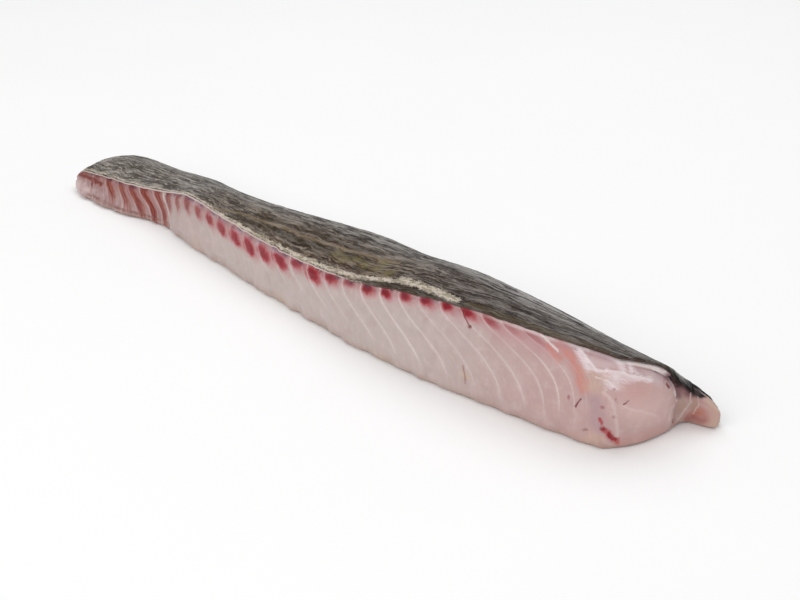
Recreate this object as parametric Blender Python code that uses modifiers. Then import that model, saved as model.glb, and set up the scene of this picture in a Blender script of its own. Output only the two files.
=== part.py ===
"""Skin-on cod loin, lying on its inner side: a long wedge of flesh under a sheet of skin.

The loin runs along +X from its thin tail cut to its thick head cut. The long cut face, where the
row of flakes shows, looks along -Y. The skin starts at the top of that face, goes over the crown
and ends a little above the board along the far side. The origin is at the middle of the base.
"""

from collections import namedtuple

import bpy
import numpy as np

NAME = "cod_loin"

# Overall sizes, mm. Distances along the loin are counted from the tail cut.
BODY_LENGTH = 416.0
CENTRE_ALONG = 210.75
CENTRE_ACROSS = -16.7
SKIN_THICKNESS = 1.2
SKIN_GAP = 0.3
SKIN_HEM = 4.0
FOOT_ROUND = 2.2
BACK_ROUND = 3.5

# The loin's sections: how far along, where the cut face stands across the board, how high that
# face is and how far it leans back, how much the crown rises over it, the width on the board and
# the height of the back's shoulder.
Station = namedtuple("Station", "along foot face lean rise width shoulder")
STATIONS = (
    Station(0, -35.0, 11.5, 5.0, 7, 37, 14),
    Station(9, -38.3, 13.0, 7.5, 11.5, 41, 17),
    Station(25, -39.5, 15.0, 8.3, 15, 45, 19),
    Station(50, -37.6, 17.0, 7.3, 9.5, 48, 19),
    Station(80, -30.9, 20.0, 3.8, 5, 48, 18),
    Station(105, -35.5, 26.0, 4.8, 3, 52, 15),
    Station(143, -39.6, 26.0, 4.3, 5, 58, 18),
    Station(185, -44.8, 26.0, 4.3, 13, 63, 23),
    Station(225, -48.5, 27.0, 4.5, 18, 68, 26),
    Station(263, -51.7, 31.0, 4.7, 17, 69, 26),
    Station(300, -52.4, 37.5, 4.9, 14.5, 70, 26),
    Station(340, -48.7, 41.0, 4.9, 6, 67, 23),
    Station(380, -44.8, 42.0, 4.7, 0, 61, 18),
    Station(408, -40.0, 42.0, 4.4, -4.5, 55, 15),
    Station(432, -37.5, 42.0, 4.5, -6, 51, 13),
)
CROWN_HANDLE = 0.42
BACK_HANDLE = 1.0

# The flakes: where some of them start at the cut edge, by number; the rest start evenly between. On
# its way down the cut face each line between two flakes drifts towards the head by DRIFT, half of
# it at HALF_WAY, as a share of the face's height. Both go by where the line starts.
FLAKE_STARTS = ((-2, -9), (0, 14.5), (2, 37), (4, 57), (8, 104), (12, 153.5), (16, 210.5), (20, 268.5),
                (24, 319.3), (28, 363.5), (32, 401), (36, 436))
DRIFT = ((0, 0), (20, 9), (45, 14), (80, 11), (120, 12), (165, 18), (215, 30.5), (280, 33), (330, 42),
         (375, 35), (398, 15), (416, 0), (432, 0))
HALF_WAY = ((0, 0.42), (120, 0.45), (215, 0.53), (280, 0.485), (330, 0.34), (375, 0.16), (432, 0.16))
DRIFT_STEEPNESS = 1.6
FLAKE_BULGE = 0.55

# Past this flake line the cut face stands a little prouder than on the tail piece.
STEP_ALONG = 78.0
STEP_HEIGHT = 0.9

# The head end: how far along it lies at each place across, from the rounded corner of the cut
# face, over the blunt muscle, to the thin nape flap that stands out behind it.
HEAD_END = ((-44, 405), (-40, 408.5), (-36, 411.5), (-30, 415), (-24, 417), (-15, 418), (-8, 418),
            (-4, 417.6), (-1, 417), (3.4, 418), (5.3, 420), (6.8, 425.5), (9, 429.5), (12, 429.5),
            (20, 425))
HEAD_STRETCH_FROM = 372.0
HEAD_ROUND = 1.8

# A place's section depends on how far it is stretched towards the head cut, and that depends on the
# section, so both are worked out in turn this many times.
SETTLE_ROUNDS = 4

# The groove where the blunt muscle ends against the flap; higher up it bends to the cut face.
NOTCH_ACROSS = -1.5
NOTCH_HEIGHT = 13.0
NOTCH_BEND_UP = 0.047
NOTCH_BEND_DOWN = 0.015
NOTCH_WIDTH = 2.2
NOTCH_DEPTH = 2.4

# How far the front of the tail cut leans out over the board, by the share of the cut's height: the
# flesh bulges at half height and its foot is set in. The cut's back is set in a little too, and all
# of this dies out within the slant's length.
TAIL_LEAN = ((0, -4.5), (0.55, 7), (1, 5))
TAIL_BACK_SET = 5.0
TAIL_SLANT_WIDTH = 28.0
TAIL_SLANT_LENGTH = 40.0
TAIL_ROUND = 1.2
TAIL_BULGE = 2.5

# The skin stops short of the flap's end.
SKIN_SHORT_OF_FLAP = 3.5
FLAP_RISE_LENGTH = 6.0

# How finely the surfaces are divided. A section has as many rows up its back as up its cut face.
COLUMNS_PER_FLAKE = 3
HEEL_ROWS = 2
FACE_ROWS = 5
SIDE_ROWS = HEEL_ROWS + FACE_ROWS
CROWN_ROWS = 11
SKIN_EVERY = 2

FLESH_COLOUR = (0.53, 0.40, 0.385)
SKIN_COLOUR = (0.105, 0.085, 0.065)


def clear_scene():
    for obj in list(bpy.data.objects):
        bpy.data.objects.remove(obj, do_unlink=True)


def smooth_curve(along, knots, values):
    """A smooth curve through the knots, with each slope taken from the neighbouring knots."""
    knots = np.asarray(knots, float)
    values = np.asarray(values, float)
    along = np.clip(along, knots[0], knots[-1])
    index = np.clip(np.searchsorted(knots, along, side="right") - 1, 0, len(knots) - 2)
    slope = np.gradient(values, knots)
    span = knots[index + 1] - knots[index]
    t = (along - knots[index]) / span
    start = (2 * t**3 - 3 * t**2 + 1) * values[index] + (t**3 - 2 * t**2 + t) * span * slope[index]
    end = (3 * t**2 - 2 * t**3) * values[index + 1] + (t**3 - t**2) * span * slope[index + 1]
    return start + end


def smoothstep(t):
    t = np.clip(t, 0, 1)
    return t * t * (3 - 2 * t)


def station(along, field):
    knots = [row.along for row in STATIONS]
    return smooth_curve(along, knots, [getattr(row, field) for row in STATIONS])


def flake_lines():
    """The number of each line between two flakes, and where it starts at the top of the cut face."""
    knots, values = zip(*FLAKE_STARTS)
    count = np.arange(knots[0], knots[-1] + 1)
    return count, smooth_curve(count, knots, values)


def start_places():
    """Where the sections start along the top of the cut face, a few for each flake."""
    count, lines = flake_lines()
    fine = np.arange(count[0], count[-1], 1 / COLUMNS_PER_FLAKE)
    places = np.interp(fine, count, lines)
    places = places[(places > 3) & (places < BODY_LENGTH - 2)]
    return np.concatenate([[0.0], places, [BODY_LENGTH]])


def drift(start, drop):
    """How far a flake line that starts here has moved to the head, this part of the way down."""
    half = smooth_curve(start, *zip(*HALF_WAY))
    down = (drop * (1 - half)) ** DRIFT_STEEPNESS
    left = ((1 - drop) * half) ** DRIFT_STEEPNESS
    return smooth_curve(start, *zip(*DRIFT)) * down / (down + left)


def crown(along, v, depth):
    """(across, up) at a depth below the skin's outer face; v is 0 at the cut and 1 at the hem."""
    foot, face, lean = station(along, "foot"), station(along, "face"), station(along, "lean")
    rise, width, shoulder = station(along, "rise"), station(along, "width"), station(along, "shoulder")
    top = foot + lean
    across = (top, top + CROWN_HANDLE * width, foot + width + BACK_HANDLE, foot + width)
    up = (face, face + rise, shoulder, np.full_like(foot, SKIN_HEM))

    def point(p):
        return (1 - v)**3 * p[0] + 3 * (1 - v)**2 * v * p[1] + 3 * (1 - v) * v**2 * p[2] + v**3 * p[3]

    def slope(p):
        return (1 - v)**2 * (p[1] - p[0]) + 2 * (1 - v) * v * (p[2] - p[1]) + v**2 * (p[3] - p[2])

    run, climb = slope(across), slope(up)
    size = np.hypot(run, climb)
    return point(across) + depth * climb / size, point(up) - depth * run / size


def head_end(across):
    knots, values = zip(*HEAD_END)
    return smooth_curve(across, knots, values)


def notch(across, up):
    """How deep the groove beside the flap is at a place on the head cut."""
    above = np.maximum(up - NOTCH_HEIGHT, 0)
    below = np.maximum(NOTCH_HEIGHT - up, 0)
    middle = NOTCH_ACROSS - NOTCH_BEND_UP * above**2 - NOTCH_BEND_DOWN * below**2
    return NOTCH_DEPTH * np.exp(-((across - middle) / NOTCH_WIDTH) ** 2)


def stretch_to_head(along, across):
    """Moves a place near the head end along, so that the last section ends on the head cut."""
    share = smoothstep((along - HEAD_STRETCH_FROM) / (BODY_LENGTH - HEAD_STRETCH_FROM))
    return along + (head_end(across) - BODY_LENGTH) * share


def settle(start, place):
    """(along, across, up) of a row once it reaches the head cut; place gives (across, up) at along."""
    along = start
    for _ in range(SETTLE_ROUNDS):
        across, _ = place(along)
        along = stretch_to_head(start, across)
    return along, *place(along)


def slant_tail(along, across, up):
    """Moves a place near the tail cut along, so that the cut's front leans and bulges as it should."""
    height = np.minimum(up / STATIONS[0].face, 1)
    front = 1 - smoothstep((across - STATIONS[0].foot) / TAIL_SLANT_WIDTH)
    back = np.maximum(across / TAIL_SLANT_WIDTH, 0)
    share = 1 - smoothstep(along / TAIL_SLANT_LENGTH)
    lean = smooth_curve(height, *zip(*TAIL_LEAN)) * front
    return along + share * (TAIL_BACK_SET * back - lean)


def flake_relief(start, rise_share):
    """How far the cut face stands out between two flake lines."""
    count, lines = flake_lines()
    part = np.interp(start, lines, count) % 1.0
    bulge = FLAKE_BULGE * np.sin(np.pi * part) ** 0.5
    fade = smoothstep(rise_share / 0.2) * smoothstep((1 - rise_share) / 0.12)
    ends = smoothstep((BODY_LENGTH - 20 - start) / 30) * smoothstep(start / 15)
    step = STEP_HEIGHT * smoothstep((start - STEP_ALONG) / 1.5)
    return bulge * fade * ends + step * fade


def section_rows():
    """The rows round a section: up the cut face, over the crown, down the back, under the base."""
    rows = [("heel", k / HEEL_ROWS) for k in range(HEEL_ROWS)]
    rows += [("face", k / FACE_ROWS) for k in range(FACE_ROWS)]
    rows += [("crown", k / CROWN_ROWS) for k in range(CROWN_ROWS)]
    rows += [("back", k / SIDE_ROWS) for k in range(SIDE_ROWS)]
    rows += [("base", 1 - k / CROWN_ROWS) for k in range(CROWN_ROWS)]
    return rows


def flesh_row(kind, value, start):
    """(along, across, up) for one row of the flesh at each of these starting places."""
    under_skin = SKIN_THICKNESS + SKIN_GAP
    over = {"base": 1 - (1 - value)**1.5, "back": 1.0}.get(kind, 0.0)
    turn = value * np.pi / 2

    def place(along):
        foot = station(along, "foot")
        back, hem = crown(along, 1.0, under_skin)
        if kind == "crown":
            return crown(along, value, under_skin)
        if kind == "heel":
            up = np.full_like(foot, FOOT_ROUND * (1 - np.cos(turn)))
            return foot + FOOT_ROUND * (1 - np.sin(turn)), up
        if kind == "back":
            return back - BACK_ROUND * (1 - np.cos(turn)), hem * (1 - np.sin(turn))
        if kind == "base":
            first, last = foot + FOOT_ROUND, back - BACK_ROUND
            return first + (last - first) * over, np.zeros_like(foot)
        top_across, top_up = crown(along, 0.0, under_skin)
        across = foot + (top_across - foot) * value - flake_relief(start, value)
        return across, FOOT_ROUND + (top_up - FOOT_ROUND) * value

    if kind == "crown":
        return settle(start, place)
    drop = 1 - value if kind == "face" else 1.0
    return settle(start + drift(start, drop) * (1 - over), place)


def flesh_sections():
    """An array of sections, each a ring of points (along, across, up)."""
    starts = start_places()
    rows = [np.stack(flesh_row(kind, value, starts), -1) for kind, value in section_rows()]
    rings = np.stack(rows, 1)
    rings[..., 0] = slant_tail(rings[..., 0], rings[..., 1], rings[..., 2])
    return rings


def ring_place(i, j):
    """Where a place on the edge of an end grid, i rows up and j rows over, is in its ring."""
    if j == 0:
        return i
    if i == SIDE_ROWS:
        return SIDE_ROWS + j
    if j == CROWN_ROWS:
        return 2 * SIDE_ROWS + CROWN_ROWS - i
    return 2 * SIDE_ROWS + 2 * CROWN_ROWS - j


def end_grid(ring):
    """Points (across, up) over the whole end of a section, blended from its four sides."""
    grid = np.zeros((SIDE_ROWS + 1, CROWN_ROWS + 1, 2))
    left, right = ([ring[ring_place(i, j), 1:] for i in range(SIDE_ROWS + 1)] for j in (0, CROWN_ROWS))
    base, top = ([ring[ring_place(i, j), 1:] for j in range(CROWN_ROWS + 1)] for i in (0, SIDE_ROWS))
    for i in range(SIDE_ROWS + 1):
        for j in range(CROWN_ROWS + 1):
            w, u = i / SIDE_ROWS, j / CROWN_ROWS
            sides = (1 - u) * left[i] + u * right[i] + (1 - w) * base[j] + w * top[j]
            corners = (1 - w) * ((1 - u) * left[0] + u * right[0])
            corners += w * ((1 - u) * left[-1] + u * right[-1])
            grid[i, j] = sides - corners
    return grid


def join_sections(mesh_name, rings, ends):
    """One closed mesh from the rings, with a grid of inner points (along, across, up) on each end."""
    count, size = rings.shape[:2]
    points = list(rings.reshape(-1, 3))
    faces = []
    for i in range(count - 1):
        for j in range(size):
            k = (j + 1) % size
            faces.append((i * size + j, (i + 1) * size + j, (i + 1) * size + k, i * size + k))
    for first, grid, outward in ((0, ends[0], False), ((count - 1) * size, ends[1], True)):
        number = {}
        for i in range(SIDE_ROWS + 1):
            for j in range(CROWN_ROWS + 1):
                if i in (0, SIDE_ROWS) or j in (0, CROWN_ROWS):
                    number[i, j] = first + ring_place(i, j) % size
                else:
                    number[i, j] = len(points)
                    points.append(grid[i, j])
        for i in range(SIDE_ROWS):
            for j in range(CROWN_ROWS):
                face = (number[i, j], number[i, j + 1], number[i + 1, j + 1], number[i + 1, j])
                faces.append(face if outward else face[::-1])
    return make_mesh(mesh_name, np.array(points), faces)


def make_mesh(mesh_name, points, faces):
    """A smooth-shaded mesh in metres, moved so that the loin's middle is over the origin."""
    middle = np.array([CENTRE_ALONG, CENTRE_ACROSS, 0])
    mesh = bpy.data.meshes.new(mesh_name)
    mesh.from_pydata(((points - middle) * 0.001).tolist(), [], faces)
    mesh.validate()
    mesh.shade_smooth()
    return mesh


def make_flesh():
    rings = flesh_sections()
    tail, head = end_grid(rings[0]), end_grid(rings[-1])
    tail_along = slant_tail(0.0, tail[..., 0], tail[..., 1]) - TAIL_BULGE
    head_along = head_end(head[..., 0]) - notch(head[..., 0], head[..., 1])
    rings[0, :, 0] += TAIL_ROUND
    rings[-1, :, 0] -= HEAD_ROUND
    ends = [np.dstack([tail_along, tail]), np.dstack([head_along, head])]
    return join_sections("flesh", rings, ends)


def make_skin():
    """The skin's outer face as an open sheet, which Solidify then thickens inwards."""
    starts = start_places()[::SKIN_EVERY]
    starts[-1] = BODY_LENGTH
    starts, v = np.meshgrid(starts, np.linspace(0, 1, CROWN_ROWS + 1), indexing="ij")
    along, across, up = settle(starts, lambda along: crown(along, v, 0.0))
    along -= SKIN_SHORT_OF_FLAP * smoothstep((along - BODY_LENGTH) / FLAP_RISE_LENGTH)
    grid = np.stack([slant_tail(along, across, up), across, up], -1)
    rows, columns = grid.shape[:2]
    faces = [
        (i * columns + j, (i + 1) * columns + j, (i + 1) * columns + j + 1, i * columns + j + 1)
        for i in range(rows - 1)
        for j in range(columns - 1)
    ]
    return make_mesh("skin", grid.reshape(-1, 3), faces)


def make_material(name, colour, roughness):
    material = bpy.data.materials.new(name)
    material.use_nodes = True
    shader = material.node_tree.nodes["Principled BSDF"]
    shader.inputs["Base Color"].default_value = (*colour, 1.0)
    shader.inputs["Roughness"].default_value = roughness
    shader.inputs["Metallic"].default_value = 0.0
    return material


def add_node(name, mesh, material, collection):
    obj = bpy.data.objects.new(name, mesh)
    obj.data.materials.append(material)
    collection.objects.link(obj)
    return obj


def main():
    clear_scene()
    collection = bpy.data.collections.new(NAME)
    bpy.context.scene.collection.children.link(collection)
    add_node("flesh", make_flesh(), make_material("flesh", FLESH_COLOUR, 0.4), collection)
    skin = add_node("skin", make_skin(), make_material("skin", SKIN_COLOUR, 0.45), collection)
    shell = skin.modifiers.new("thickness", "SOLIDIFY")
    shell.thickness = SKIN_THICKNESS * 0.001
    shell.offset = -1


main()
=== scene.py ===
"""Looks of the skin-on cod loin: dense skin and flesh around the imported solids, in a white studio.

Distances on the loin are in mm, as in the part's source: along the loin from the tail cut, across the
board and up from it. The form below repeats the part's own stations, so both have the same shape.
"""

from collections import namedtuple

import bpy
import numpy as np
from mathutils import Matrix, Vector


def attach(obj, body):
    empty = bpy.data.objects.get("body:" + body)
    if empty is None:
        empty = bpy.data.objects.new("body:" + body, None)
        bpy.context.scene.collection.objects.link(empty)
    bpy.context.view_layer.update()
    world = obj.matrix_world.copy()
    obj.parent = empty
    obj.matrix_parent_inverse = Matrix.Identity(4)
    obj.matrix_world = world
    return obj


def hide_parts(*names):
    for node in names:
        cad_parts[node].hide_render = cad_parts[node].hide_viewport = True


# The photo's camera and the studio, in metres and watts.
CAMERA_AZIMUTH = np.radians(48.0)
CAMERA_ELEVATION = np.radians(24.0)
CAMERA_DISTANCE = 0.77
CAMERA_TARGET = (0.03225, 0.0167, 0.0)
CAMERA_LENS = 70.0
CLIP_START = 0.01
FLOOR_HALF = 12.0
FLOOR_DROP = 0.0002
WORLD_STRENGTH = 0.5
LIGHTS = (("top_light", (-0.3, 0.5, 1.5), (2.0, 1.4), 12),
          ("front_light", (0.5, -1.3, 1.0), (1.8, 1.0), 11))
MM = 0.001

# The loin's form, as in the part's source.
BODY_LENGTH = 416.0
CENTRE_ALONG = 210.75
CENTRE_ACROSS = -16.7
SKIN_THICKNESS = 1.2
SKIN_HEM = 4.0
FOOT_ROUND = 2.2
BACK_ROUND = 3.5

Station = namedtuple("Station", "along foot face lean rise width shoulder")
STATIONS = [Station(*row) for row in (
    (0, -35.0, 11.5, 5.0, 7, 37, 14), (9, -38.3, 13.0, 7.5, 11.5, 41, 17),
    (25, -39.5, 15.0, 8.3, 15, 45, 19), (50, -37.6, 17.0, 7.3, 9.5, 48, 19),
    (80, -30.9, 20.0, 3.8, 5, 48, 18), (105, -35.5, 26.0, 4.8, 3, 52, 15),
    (143, -39.6, 26.0, 4.3, 5, 58, 18), (185, -44.8, 26.0, 4.3, 13, 63, 23),
    (225, -48.5, 27.0, 4.5, 18, 68, 26), (263, -51.7, 31.0, 4.7, 17, 69, 26),
    (300, -52.4, 37.5, 4.9, 14.5, 70, 26), (340, -48.7, 41.0, 4.9, 6, 67, 23),
    (380, -44.8, 42.0, 4.7, 0, 61, 18), (408, -40.0, 42.0, 4.4, -4.5, 55, 15),
    (432, -37.5, 42.0, 4.5, -6, 51, 13),
)]
CROWN_HANDLE = 0.42
BACK_HANDLE = 1.0

FLAKE_STARTS = ((-2, -9), (0, 14.5), (2, 37), (4, 57), (8, 104), (12, 153.5), (16, 210.5), (20, 268.5),
                (24, 319.3), (28, 363.5), (32, 401), (36, 436))
DRIFT = ((0, 0), (20, 9), (45, 14), (80, 11), (120, 12), (165, 18), (215, 30.5), (280, 33), (330, 42),
         (375, 35), (398, 15), (416, 0), (432, 0))
HALF_WAY = ((0, 0.42), (120, 0.45), (215, 0.53), (280, 0.485), (330, 0.34), (375, 0.16), (432, 0.16))
DRIFT_STEEPNESS = 1.6
STEP_ALONG = 78.0
STEP_FLAKE = 5.85
STEP_HEIGHT = 0.9
STEP_LENGTH = 1.5

HEAD_END = ((-44, 405), (-40, 408.5), (-36, 411.5), (-30, 415), (-24, 417), (-15, 418), (-8, 418),
            (-4, 417.6), (-1, 417), (3.4, 418), (5.3, 420), (6.8, 425.5), (9, 429.5), (12, 429.5),
            (20, 425))
HEAD_STRETCH_FROM = 372.0
SETTLE_ROUNDS = 4
NOTCH_ACROSS = -1.5
NOTCH_HEIGHT = 13.0
NOTCH_BEND_UP = 0.047
NOTCH_BEND_DOWN = 0.015
NOTCH_WIDTH = 2.2
NOTCH_DEPTH = 2.4
TAIL_LEAN = ((0, -4.5), (0.55, 7), (1, 5))
TAIL_BACK_SET = 5.0
TAIL_SLANT_WIDTH = 28.0
TAIL_SLANT_LENGTH = 40.0
TAIL_BULGE = 2.5
SKIN_SHORT_OF_FLAP = 3.5
FLAP_RISE_LENGTH = 6.0

# Behind the blunt muscle the skin's end runs on a little and curls down over the flesh.
CURL_LENGTH = 4.0
CURL_OUT = 2.2
CURL_DOWN = 3.2
CURL_FROM_ACROSS = -14.0
CURL_RISE_ACROSS = 10.0
LEAST_UP = 1.0
TAIL_CURL_LENGTH = 6.0
TAIL_CURL_DOWN = 3.0
TAIL_CURL_IN = -0.6

# How finely the flesh is divided. The rows of its last sections are split further to fit the ends.
COLUMNS_PER_FLAKE = 18
HEEL_ROWS = 8
FACE_ROWS = 64
CROWN_ROWS = 20
BACK_ROWS = 12
BACK_SPLIT = 6
HEAD_SPLIT = 5
TAIL_SPLIT = 3
HEAD_ROUND = 2.4
TAIL_ROUND = 1.8
HALF_TURN = 0.5 ** 0.5
FLAKE_BULGE = 0.28
FLAKE_SQUARE = 0.7
FLAKE_FADE_LOW = 0.2
FLAKE_FADE_TOP = 0.12
FLAKE_LAST = 396.0
FLAKE_FADE_HEAD = 30.0
FLAKE_FADE_TAIL = 15.0
BASE_SPREAD = 1.5
LEAST_COLUMN = 0.3
HEAD_FLAT_EDGE = 3.0
TAIL_FLAT_EDGE = 7.0
FAR_BELOW = 60.0

# Small relief of the flesh. A noise is (height in mm, cell in mm, seed).
FLESH_ROUGH = ((0.22, 15, 1), (0.10, 5, 2), (0.04, (4, 1.2, 1.2), 3))
EDGE_WAVE = ((1.0, 7, 14), (0.5, 3, 15))
LOW_EDGE_WAVE = 1.2
WAVE_UP = 2.5
FLAT_FOOT = 1.5
FLAT_TOP = 1.0
MARK_SHIFTS = (((0.7, 4, 20), (0.3, 1.4, 21)), ((0.7, 4, 22), (0.3, 1.4, 23)))

# How finely the skin is divided.
SKIN_COLUMN = 1.1
SKIN_END_COLUMN = 0.45
SKIN_ROWS = 150
SKIN_INNER_SHARE = 3
RIM_ROWS = 3
SKIN_ROUGH = ((0.20, (11, 1.7, 1), 7), (0.12, (4, 1.1, 1), 8), (0.25, (22, 6, 1), 9))
LIP_WAVE = ((0.006, 5, 5), (0.003, 1.7, 6))
FOLD_DEPTH = 0.5
SKIN_FLAT_EDGE = 1.5

# The head map: a flat map that faces the photo's side of the head end. Its places are (right, up) in
# mm from its middle.
HEAD_MAP_MIDDLE = np.array([418.0, -15.0, 20.0])
HEAD_MARKS_FROM = 330.0
TAIL_MARKS_TO = 30.0
FACING_EDGE = 0.25

# How soft the edges of drawn lines and layers are.
LINE_EDGE = (0.3, 1.5)
LAYER_EDGE = 0.25

Spot = namedtuple("Spot", "x y long wide turn")
Stroke = namedtuple("Stroke", "width points")
Layer = namedtuple("Layer", "name colour strength soft grain marks")
Line = namedtuple("Line", "colour strength strokes")
Relief = namedtuple("Relief", "height marks")


def stroke(width, *places):
    """A stroke with this half width through places given as x, y, x, y."""
    return Stroke(width, tuple(zip(places[::2], places[1::2])))


def camera_axes():
    """The directions right, up and back from the photo's camera."""
    turn, rise = CAMERA_AZIMUTH, CAMERA_ELEVATION
    right = np.array([np.cos(turn), np.sin(turn), 0])
    back = np.array([np.sin(turn) * np.cos(rise), -np.cos(turn) * np.cos(rise), np.sin(rise)])
    return right, np.cross(back, right), back


# Marks of the cut side, as (along, mm below the skin's edge).
TAIL_LUMP = (Spot(1, 9.4, 9, 3.6, 8), Spot(14, 10.6, 5, 2.2, 0))
LUMP_GROOVE = (stroke(0.8, -8, 5.4, 0, 6.0, 8, 6.4, 14, 8.2, 19, 12.5),)
SIDE_NICK = (stroke(0.5, 331.5, 0.5, 334, 2.6, 336.5, 4.8, 338.6, 6.6),)
SIDE_CRESCENT = (stroke(0.45, 337.2, 22.6, 338.4, 25, 339.3, 27, 339.6, 30),)
TAN_BITS = (Spot(123.6, 22, 5, 3, 0), Spot(206.6, 24, 6, 3, 0), Spot(288.7, 31, 7, 4, 0),
            Spot(339.3, 27, 2.5, 1.5, 0), Spot(8, 14.5, 3.5, 1.6, 0))
BRICK_STREAKS = (stroke(0.9, -10, 2.4, 0, 2.8, 8, 3.4, 14, 4.8, 17, 8, 18, 11),
                 stroke(0.9, 8, 3.2, 16, 3.4, 24.4, 5))

# Marks of the head end on the head map.
ORANGE_STREAK = stroke(1.9, -40.6, 20.5, -38.6, 18.3, -36.6, 15.7, -35.1, 12.7, -33.4, 9.6, -31, 2.3)
ORANGE_SIDE = stroke(1.5, -45.2, 20.3, -43.4, 17.3, -40.5, 15.1)
BOLD_LINE = stroke(0.5, -47.4, 24.3, -44.1, 20.6, -41.6, 18)
MAUVE_BAND = stroke(2.2, -39.8, 21.6, -36.1, 21, -31.5, 19.4)
FASCIA_LEFT = stroke(1.2, -34, 18.5, -32.2, 15.4, -29.3, 11.3)
FASCIA_ARC = stroke(0.9, -29.3, 11.3, -25.9, 10.7, -20.3, 9.3, -14, 8.7, -5.2, 6.5)
FASCIA_PATCH = (Spot(-19, 7.6, 4.5, 1.9, -8), Spot(-11.5, 7.4, 5.0, 1.0, -10),
                Spot(-21, 4.4, 3.2, 1.2, -14))
FASCIA_FOLDS = (stroke(1.1, -18.7, 15.2, -17.6, 12.5, -16.6, 9.9),
                stroke(0.9, -15.1, 14.6, -14.4, 12.5, -13.5, 10.8))
FASCIA_LINES = (stroke(0.4, -33.2, 18.9, -30.6, 15.6, -28.9, 13.4, -26.8, 11.1, -21.6, 10.2,
                       -16.3, 9.6, -10.5, 8.4, -5.8, 6.1),
                stroke(0.3, -16.3, 14.9, -14, 11.4, -11.1, 9.6),
                stroke(0.3, -13.4, 13.1, -11.7, 10.8, -8.2, 7.9),
                stroke(0.3, -27.4, 7.9, -23.3, 6.1, -18.7, 3.2),
                stroke(0.7, -3.5, 11.3, 0, 9.6, 2.6, 7.9))
PURPLE_LOBE = stroke(2.1, -28, 18, -26.7, 17.7, -22.9, 16.3, -19.7, 15.4)
PALE_LOBE = stroke(2.0, -28.6, 13.9, -25.7, 13.2, -21.9, 13.2, -18.3, 14)
LOBE_TIP = Spot(-30, 14.3, 1.3, 2.2, 10)
MUSCLE_EDGE = stroke(0.5, -17.8, 15, -14.7, 14.5, -10.5, 13.8, -5.5, 12.3, -0.1, 9.5, 2.7, 6.7,
                     5.2, 3.8, 6.8, 0.3, 8.7, -2.9)
MUSCLE_EDGE_LOW = stroke(0.8, 8.7, -2.9, 6.8, -4.6, 5.3, -5.8, 4.9, -10.1)
SALMON_PATCH = (Spot(-10, 2.2, 7.5, 4.2, 0),)
DIAGONAL_LINE = stroke(0.6, -16.6, -3.4, -13.1, -4.9, -8.6, -5.7, -1.8, -8.3)
BEND_LINE = stroke(0.8, -23.9, 1.9, -20.8, -1.5, -18.7, -9.6, -17.8, -16.1)
TAN_YELLOW = (Spot(-27, 8.4, 3.6, 1.8, -15), Spot(-27.4, 3.6, 3.4, 2.6, -30))
PINK_MAUVE = (stroke(3.0, -27.3, -1.5, -26.2, -7.8, -25.7, -12),)
# The purple gap is painted shade in the narrow gap under the skin's edge.
PURPLE_GAP_SHADE = (stroke(1.5, -1.7, 9.4, 2.3, 7.6, 5.2, 5.8),)
# Maroon: partly the tissue's own colour and partly painted shade in the recess under the skin at the
# head end.
MAROON_AND_SHADE = (stroke(2.4, 3.5, 7.2, 6.5, 4.9, 10.2, 2.3, 14.8, 0.8), stroke(1.4, 6.6, 3.4, 9.6, -0.4))
UNDER_SKIN_SHADOW = (stroke(1.1, 5, 7.2, 9.5, 4.9), stroke(1.8, 9.5, 4.8, 12.4, 3.5, 16.3, 1.8),
                     stroke(1.7, 16.3, 1.6, 19.8, -0.4))
RED_NICK = (stroke(0.5, 2.3, 4.7, 3.2, 3.2),)
BULGE = (Spot(-6, -2.5, 12, 8.5, -8),)
LOBE_FILL = (Spot(11, -5.2, 2.6, 4.8, -18), Spot(16.4, -4.6, 1.7, 4.2, -10))
LOBE_LINES = (stroke(0.45, 14.8, -0.1, 15.2, -3.8, 12.4, -8.2, 9.9, -11.4),
              stroke(0.35, 18, -1.4, 18.4, -5, 16.9, -8.8))
FLAP_ORANGE = (Spot(18.5, -8.4, 3.4, 1.9, -5),)
FLAP_RED = (stroke(1.7, 14.6, -10.5, 16.3, -10.7, 19.4, -11.4, 21.3, -11.5),)
FLAP_PINK = (Spot(20, -2.4, 2.4, 2.0, -20),)
FLAP_RIM = (stroke(2.6, 23.2, -2.7, 25.8, -6, 26.1, -8.6, 25.2, -12.9, 23.5, -15),)
BLOOD = (stroke(0.5, -24.8, -9, -24.2, -11.5, -23.8, -13),
         stroke(1.15, -23.9, -13.4, -21.9, -15.1, -20, -17.4, -17.3, -19))
BLOOD_CORE = (Spot(-23.8, -13.2, 1.4, 1.1, 0), stroke(0.8, -21.6, -15.4, -20, -17.4, -18.6, -18))
LOWER_EDGE = (stroke(2.4, -16.5, -19, -7.8, -17.4, -3.3, -16.2, 1.3, -15),)
TAN_CORNER = (Spot(-27, -17.6, 3.2, 2.2, -10),)
NICKS = (stroke(0.42, -34.4, -4.6, -33.7, -2.8, -32.6, -1.6),
         stroke(0.32, -16.4, -3.0, -15.4, -2.4, -14.4, -1.4))
NICK_DOTS = (Spot(-20.1, 3.1, 0.7, 0.5, 0), Spot(-19.4, -8.2, 0.6, 0.7, 20),
             Spot(-24.3, -4.4, 0.6, 0.5, 0), Spot(-30.5, -14.5, 0.7, 0.5, 0),
             Spot(-36.9, -0.5, 0.5, 0.8, 0), Spot(-19.2, -1.2, 0.4, 1.1, 20))
LENS_GROOVE = stroke(1.5, -33.4, -1.9, -31.2, -0.8, -29.3, -5.1, -29.5, -10, -30.5, -14.5)
HEAD_TOP_PINK = (stroke(5.0, -62, 24, -52, 22, -44, 20),)

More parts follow.
